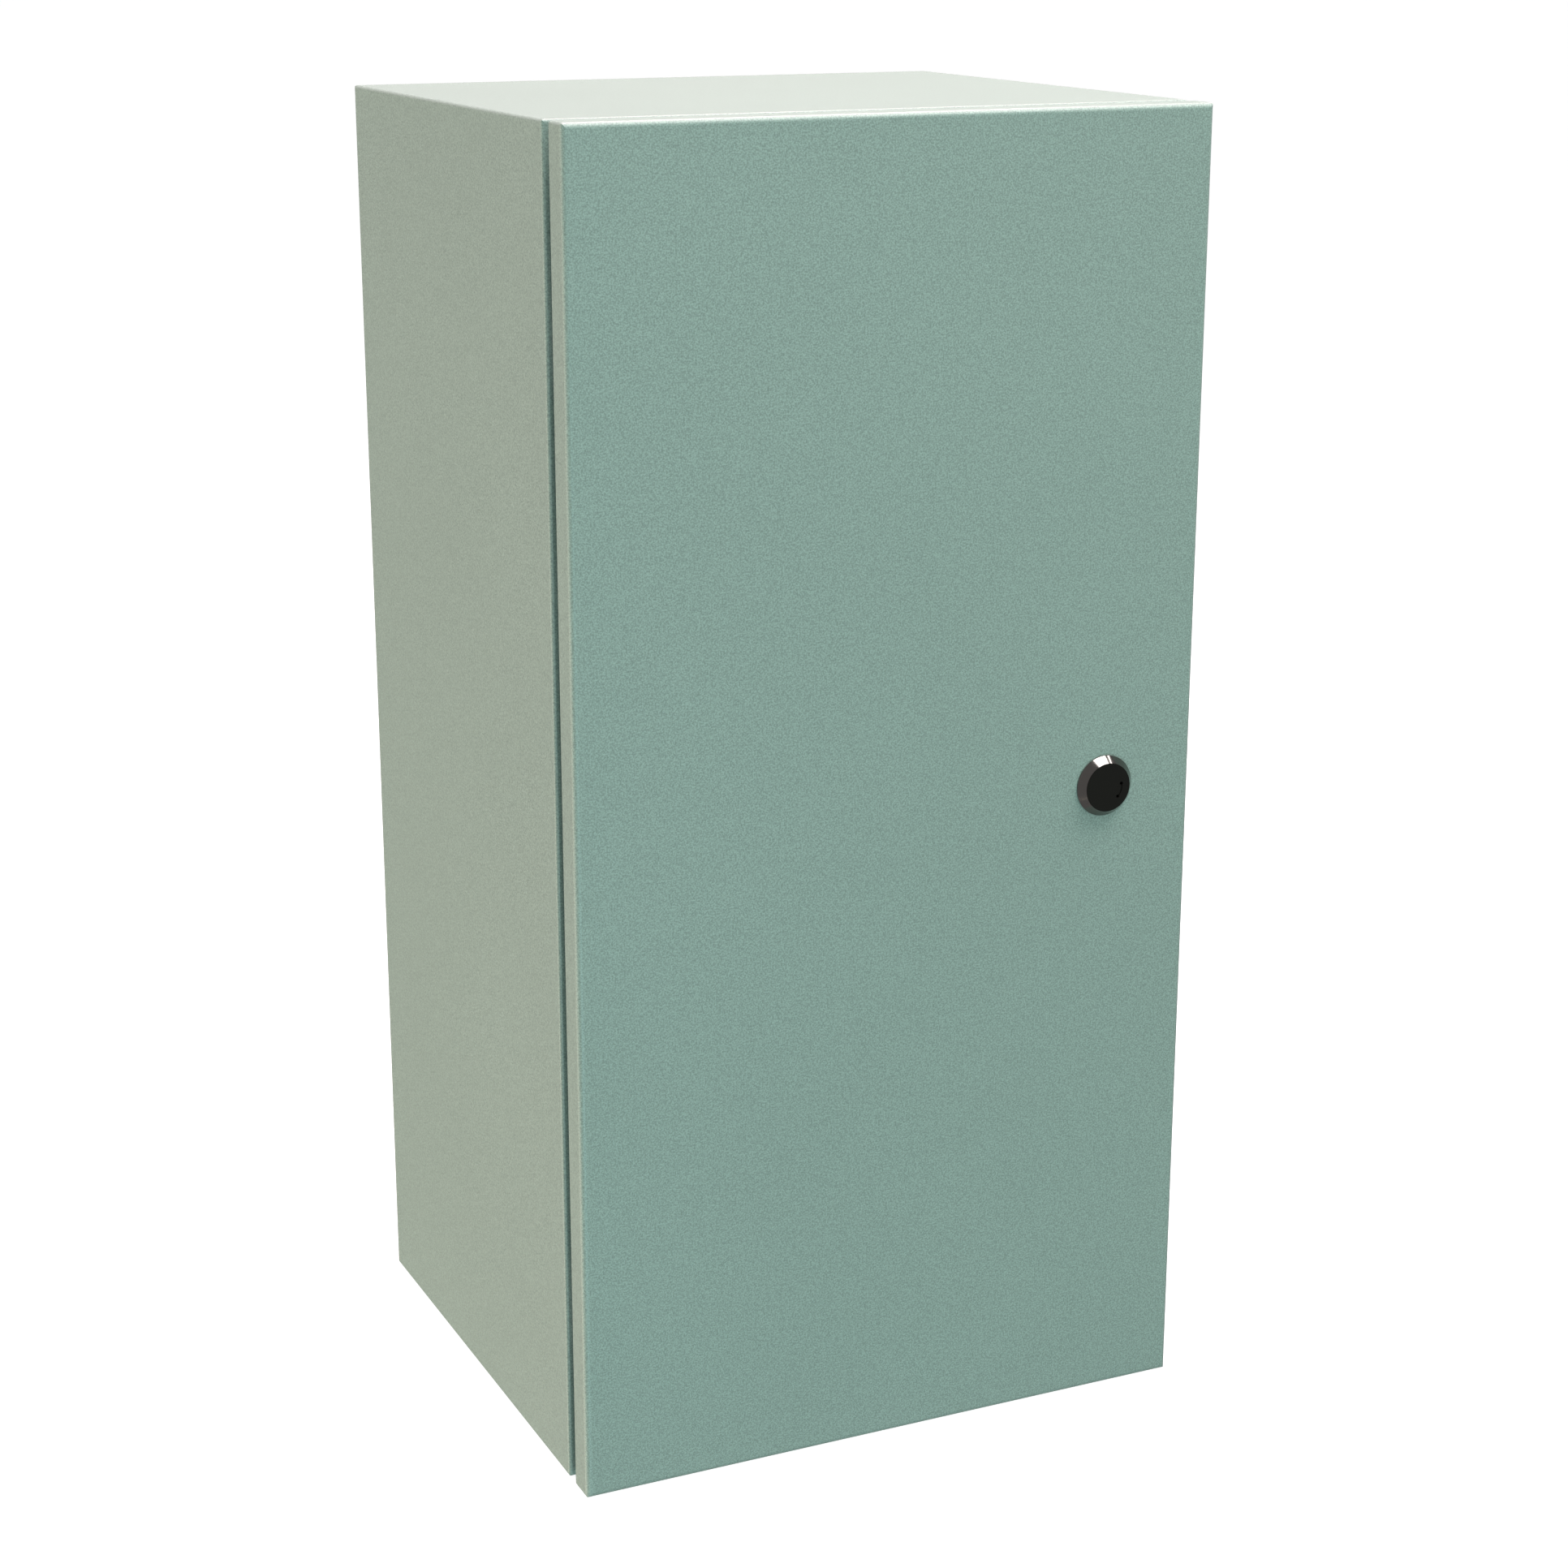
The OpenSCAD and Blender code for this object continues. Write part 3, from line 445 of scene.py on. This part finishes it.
def add_earthing_lead():
    """Green lead with two yellow stripes, which bends from the door to the body."""
    # each stripe takes some of the tube's sides, and the stripes lie opposite each other
    sides = 24
    stripe_sides = 5
    stripe_pitch = sides // 2
    points = [local(x, y, EARTH_HEIGHT + z) for x, y, z in LEAD_ROUTE]
    route = smooth_route(points, steps=6)
    rings = tube_rings(route, LEAD_DIAMETER / 2, sides)
    lead = add_piece("earthing_lead", [skin(rings)], None, "green_insulation", smooth_below=60)
    lead.data.materials.append(extruded_plastic("yellow_stripe", (0.68, 0.50, 0.03), 0.42, axis=2))
    wall_faces = (len(rings) - 1) * sides
    for face in lead.data.polygons[:wall_faces]:
        if face.index % stripe_pitch < stripe_sides:
            face.material_index = 1
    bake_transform(lead)
    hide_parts("earth_strap")


# ---------------------------------------------------------------- duct lids
DUCT_HALF = 12.5 * MM
# heights of the four lying ducts and the place of their left ends, in millimetres
DUCT_ROWS = (539, 402.5, 265.5, 158.5)
DUCT_ROW_LEFT = 57.5


def lid_profile(half):
    """Section of a lid as (across, forward) points, with rounded edges, two grooves and clip lips."""
    top = 1.6 * MM
    edge = 1.2 * MM
    lip = 0.9 * MM
    lip_depth = 4 * MM
    groove_at = half * 0.55
    groove_half = 0.8 * MM
    groove_depth = 0.5 * MM
    arc_steps = 4
    outer = half + lip
    right = [(half, 0.0), (half, -lip_depth), (outer, -lip_depth)]
    for k in range(arc_steps + 1):
        angle = math.radians(90 * k / arc_steps)
        right.append((outer - edge + edge * math.cos(angle), top - edge + edge * math.sin(angle)))
    right += [
        (groove_at + groove_half, top),
        (groove_at, top - groove_depth),
        (groove_at - groove_half, top),
    ]
    return right + [(-across, forward) for across, forward in reversed(right)]


def add_duct_lids():
    """Clip-on lids of the wiring ducts: one upright lid on the left and one on each row."""
    low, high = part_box("duct_covers")
    front = high.y
    profile = lid_profile(DUCT_HALF)
    middle = low.x + DUCT_HALF
    skins = [skin([[Vector((middle + u, front - v, z)) for u, v in profile] for z in (low.z, high.z)])]
    for row in DUCT_ROWS:
        start = local(DUCT_ROW_LEFT, 0, row)
        ends = (start.x, high.x)
        skins.append(skin([[Vector((x, front - v, start.z + u)) for u, v in profile] for x in ends]))
    lids = add_piece("duct_lids", skins, "cabinet", "duct_plastic", smooth_below=50)
    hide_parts("duct_covers")


# ---------------------------------------------------------------- plates and tags
PLATED_CASES = (
    "main_switch_case", "residual_current_case",
    "breaker_case_1", "breaker_case_2", "breaker_case_3", "breaker_case_4",
)


def plate_skin(middle, width, height, thickness):
    """Thin plate with rounded corners and a bevelled front, standing out of the face at middle."""
    bevel = 0.15 * MM
    radius = 0.8 * MM
    rings = []
    for inset, out in ((0, 0), (0, thickness - bevel), (bevel, thickness)):
        half_x = width / 2 - inset
        half_z = height / 2 - inset
        outline = rounded_outline(
            middle.x - half_x, middle.x + half_x, middle.z - half_z, middle.z + half_z,
            radius - inset, arc_steps=4,
        )
        rings.append([point + Vector((0, middle.y - out, 0)) for point, _ in outline])
    return skin(rings)


def add_rating_plates():
    """Blank plates below the toggles."""
    margin = 4 * MM
    below = 17 * MM
    height = 6.5 * MM
    thickness = 0.4 * MM
    skins = []
    for node in PLATED_CASES:
        low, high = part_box(node)
        middle = Vector(((low.x + high.x) / 2, low.y, (low.z + high.z) / 2 - below))
        skins.append(plate_skin(middle, high.x - low.x - 2 * margin, height, thickness))
    white = moulded_plastic("plate_white", (0.8, 0.8, 0.78), 0.3)
    add_piece("rating_plates", skins, "cabinet", "case_plastic", white)


def plate_row(box, count, width, height, thickness, recess=0.0):
    """Plates on the middles of count equal parts of the box, in a row, recess behind the box's front."""
    low, high = box
    pitch = (high.x - low.x) / count
    skins = []
    for k in range(count):
        middle = Vector((low.x + (k + 0.5) * pitch, low.y + recess, (low.z + high.z) / 2))
        skins.append(plate_skin(middle, width, height, thickness))
    return skins


def add_status_windows():
    """Green windows in the recesses of the surge cartridges."""
    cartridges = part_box("surge_cartridges")
    skins = plate_row(
        cartridges, count=4, width=7.6 * MM, height=7.2 * MM, thickness=0.8 * MM, recess=1 * MM
    )
    green = moulded_plastic("window_green", (0.03, 0.3, 0.07), 0.2)
    add_piece("status_windows", skins, "cabinet", "cartridge_plastic", green)


def add_terminal_tags():
    """Blank marker tags on the noses of the terminals."""
    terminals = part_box("terminal_blocks")
    skins = plate_row(terminals, count=20, width=6.6 * MM, height=9.6 * MM, thickness=0.6 * MM)
    white = moulded_plastic("tag_white", (0.8, 0.8, 0.77), 0.4)
    add_piece("terminal_tags", skins, "cabinet", "terminal_plastic", white)


# ---------------------------------------------------------------- CAD nodes
# how far the edges of moulded parts are rounded, by slot
MOULDED_EDGES = {
    "case_plastic": 0.35 * MM,
    "cartridge_plastic": 0.35 * MM,
    "terminal_plastic": 0.25 * MM,
    "support_plastic": 0.4 * MM,
    "toggle_black": 0.6 * MM,
    "toggle_red": 0.6 * MM,
    "toggle_blue": 0.6 * MM,
    "pocket_plastic": 0.5 * MM,
}


def round_edges(node, width):
    """Rounds the node's sharp edges by a modifier, which leaves its mesh as it is."""
    sharp_above = 40
    bevel = node.modifiers.new("rounded edges", "BEVEL")
    bevel.width = width
    bevel.segments = 2
    bevel.limit_method = "ANGLE"
    bevel.angle_limit = math.radians(sharp_above)
    bevel.harden_normals = True


def finish_cad_nodes():
    """Gives every CAD node the material of its slot in the record, and moulded ones rounded edges."""
    for part in frame["record"]["subparts"]:
        node = nodes[part["node"]]
        slot = part["material_slot"]
        node.data.materials.clear()
        node.data.materials.append(MATERIALS[slot])
        if slot in MOULDED_EDGES:
            round_edges(node, MOULDED_EDGES[slot])


# ---------------------------------------------------------------- camera
# angles in degrees, lens and sensor in millimetres, the others in metres
CAMERA_AZIMUTH = -24.92
CAMERA_ELEVATION = 16.27
CAMERA_ROLL = 0.058
CAMERA_DISTANCE = 1.3018
CAMERA_LENS = 69.8
CAMERA_SENSOR = 36.0
CAMERA_CLIP = 0.05
TARGET_FROM_LEFT = 0.0961
TARGET_HEIGHT = 0.3199


def direction(azimuth, elevation):
    """Unit vector from the object towards a viewer; azimuth 0 looks along +Y."""
    a = math.radians(azimuth)
    e = math.radians(elevation)
    return Vector((math.sin(a) * math.cos(e), -math.cos(a) * math.cos(e), math.sin(e)))


def add_camera():
    """Camera that looks at a point of the door's front from the left and above."""
    camera = bpy.data.objects.new("camera", bpy.data.cameras.new("camera"))
    camera.data.lens = CAMERA_LENS
    camera.data.sensor_width = CAMERA_SENSOR
    camera.data.sensor_fit = "HORIZONTAL"
    camera.data.clip_start = CAMERA_CLIP
    bpy.context.scene.collection.objects.link(camera)
    target = Vector((DOOR_LOW.x + TARGET_FROM_LEFT, DOOR_LOW.y, TARGET_HEIGHT))
    away = direction(CAMERA_AZIMUTH, CAMERA_ELEVATION)
    roll = Matrix.Rotation(math.radians(CAMERA_ROLL), 4, "Z").to_quaternion()
    turn = (away.to_track_quat("Z", "Y") @ roll).to_matrix().to_4x4()
    camera.matrix_world = Matrix.Translation(target + away * CAMERA_DISTANCE) @ turn
    bpy.context.scene.camera = camera


# ---------------------------------------------------------------- light and floor
def add_softbox(name, azimuth, elevation, distance, width, height, power, color):
    """Soft rectangular light that faces the cabinet's middle."""
    light = bpy.data.lights.new(name, "AREA")
    light.shape = "RECTANGLE"
    light.size = width
    light.size_y = height
    light.energy = power
    light.color = color
    softbox = bpy.data.objects.new(name, light)
    bpy.context.scene.collection.objects.link(softbox)
    away = direction(azimuth, elevation)
    middle = (BODY_LOW + BODY_HIGH) / 2
    turn = away.to_track_quat("Z", "Y").to_matrix().to_4x4()
    softbox.matrix_world = Matrix.Translation(middle + away * distance) @ turn


# name, azimuth and elevation in degrees, distance, width and height in metres, power in watts, colour
# key, edge and top make the bright line along the door's upper bend, key and strip show in the lock's ring
SOFTBOXES = (
    ("key", 38, 67, 1.96, 1.1, 1.0, 26.0, (1.0, 1.0, 1.0)),
    ("edge", 57, 52, 2.26, 0.7, 0.7, 10.0, (1.0, 1.0, 1.0)),
    ("strip", 84, 50, 2.34, 0.6, 0.2, 2.5, (1.0, 1.0, 1.0)),
    ("left", -109, -24, 2.8, 2.7, 3.2, 78.5, (1.0, 0.905, 0.748)),
    ("right", 109, 12, 2.4, 0.3, 0.45, 2.5, (0.7, 0.8, 1.0)),
    ("front", 0, 36, 3.4, 2.6, 2.0, 26.0, (0.75, 1.0, 1.0)),
    ("low", -14, -22, 2.9, 2.0, 1.6, 34.8, (0.61, 0.98, 1.0)),
    ("top", 180, 70, 2.3, 3.0, 1.3, 113.0, (1.0, 0.765, 0.82)),
)
ROOM_COLOR = (0.3, 0.3, 0.3)


def add_room():
    """Dim room for the light and the reflections, plain white where the camera looks into it."""
    world = bpy.data.worlds.new("room")
    world.use_nodes = True
    tree = world.node_tree
    room = tree.nodes["Background"]
    room.inputs["Color"].default_value = (*ROOM_COLOR, 1.0)
    backdrop = tree.nodes.new("ShaderNodeBackground")
    backdrop.inputs["Color"].default_value = (1.0, 1.0, 1.0, 1.0)
    rays = tree.nodes.new("ShaderNodeLightPath")
    choice = tree.nodes.new("ShaderNodeMixShader")
    tree.links.new(rays.outputs["Is Camera Ray"], choice.inputs["Fac"])
    tree.links.new(room.outputs["Background"], choice.inputs[1])
    tree.links.new(backdrop.outputs["Background"], choice.inputs[2])
    tree.links.new(choice.outputs["Shader"], tree.nodes["World Output"].inputs["Surface"])
    bpy.context.scene.world = world


def add_light():
    """Room and softboxes, with colours shown as they are."""
    add_room()
    for softbox in SOFTBOXES:
        add_softbox(*softbox)
    bpy.context.scene.view_settings.view_transform = "Standard"


def add_floor():
    """Glowing floor that stays white in the camera's view and adds nothing to the cabinet's light."""
    reach = 30.0
    glow = 0.9
    mesh = bpy.data.meshes.new("floor")
    corners = [(-reach, -reach, 0), (reach, -reach, 0), (reach, reach, 0), (-reach, reach, 0)]
    mesh.from_pydata(corners, [], [(0, 1, 2, 3)])
    floor = bpy.data.objects.new("floor", mesh)
    bpy.context.scene.collection.objects.link(floor)
    shader = Shader("light_table", (0.3, 0.3, 0.3), roughness=0.9)
    shader.bsdf.inputs["Emission Color"].default_value = (1.0, 1.0, 1.0, 1.0)
    shader.bsdf.inputs["Emission Strength"].default_value = glow
    mesh.materials.append(shader.material)
    floor.visible_diffuse = False
    floor.visible_glossy = False
    floor.visible_shadow = False


add_camera()
finish_cad_nodes()
add_gasket()
add_earthing_lead()
add_duct_lids()
add_rating_plates()
add_status_windows()
add_terminal_tags()
add_light()
add_floor()
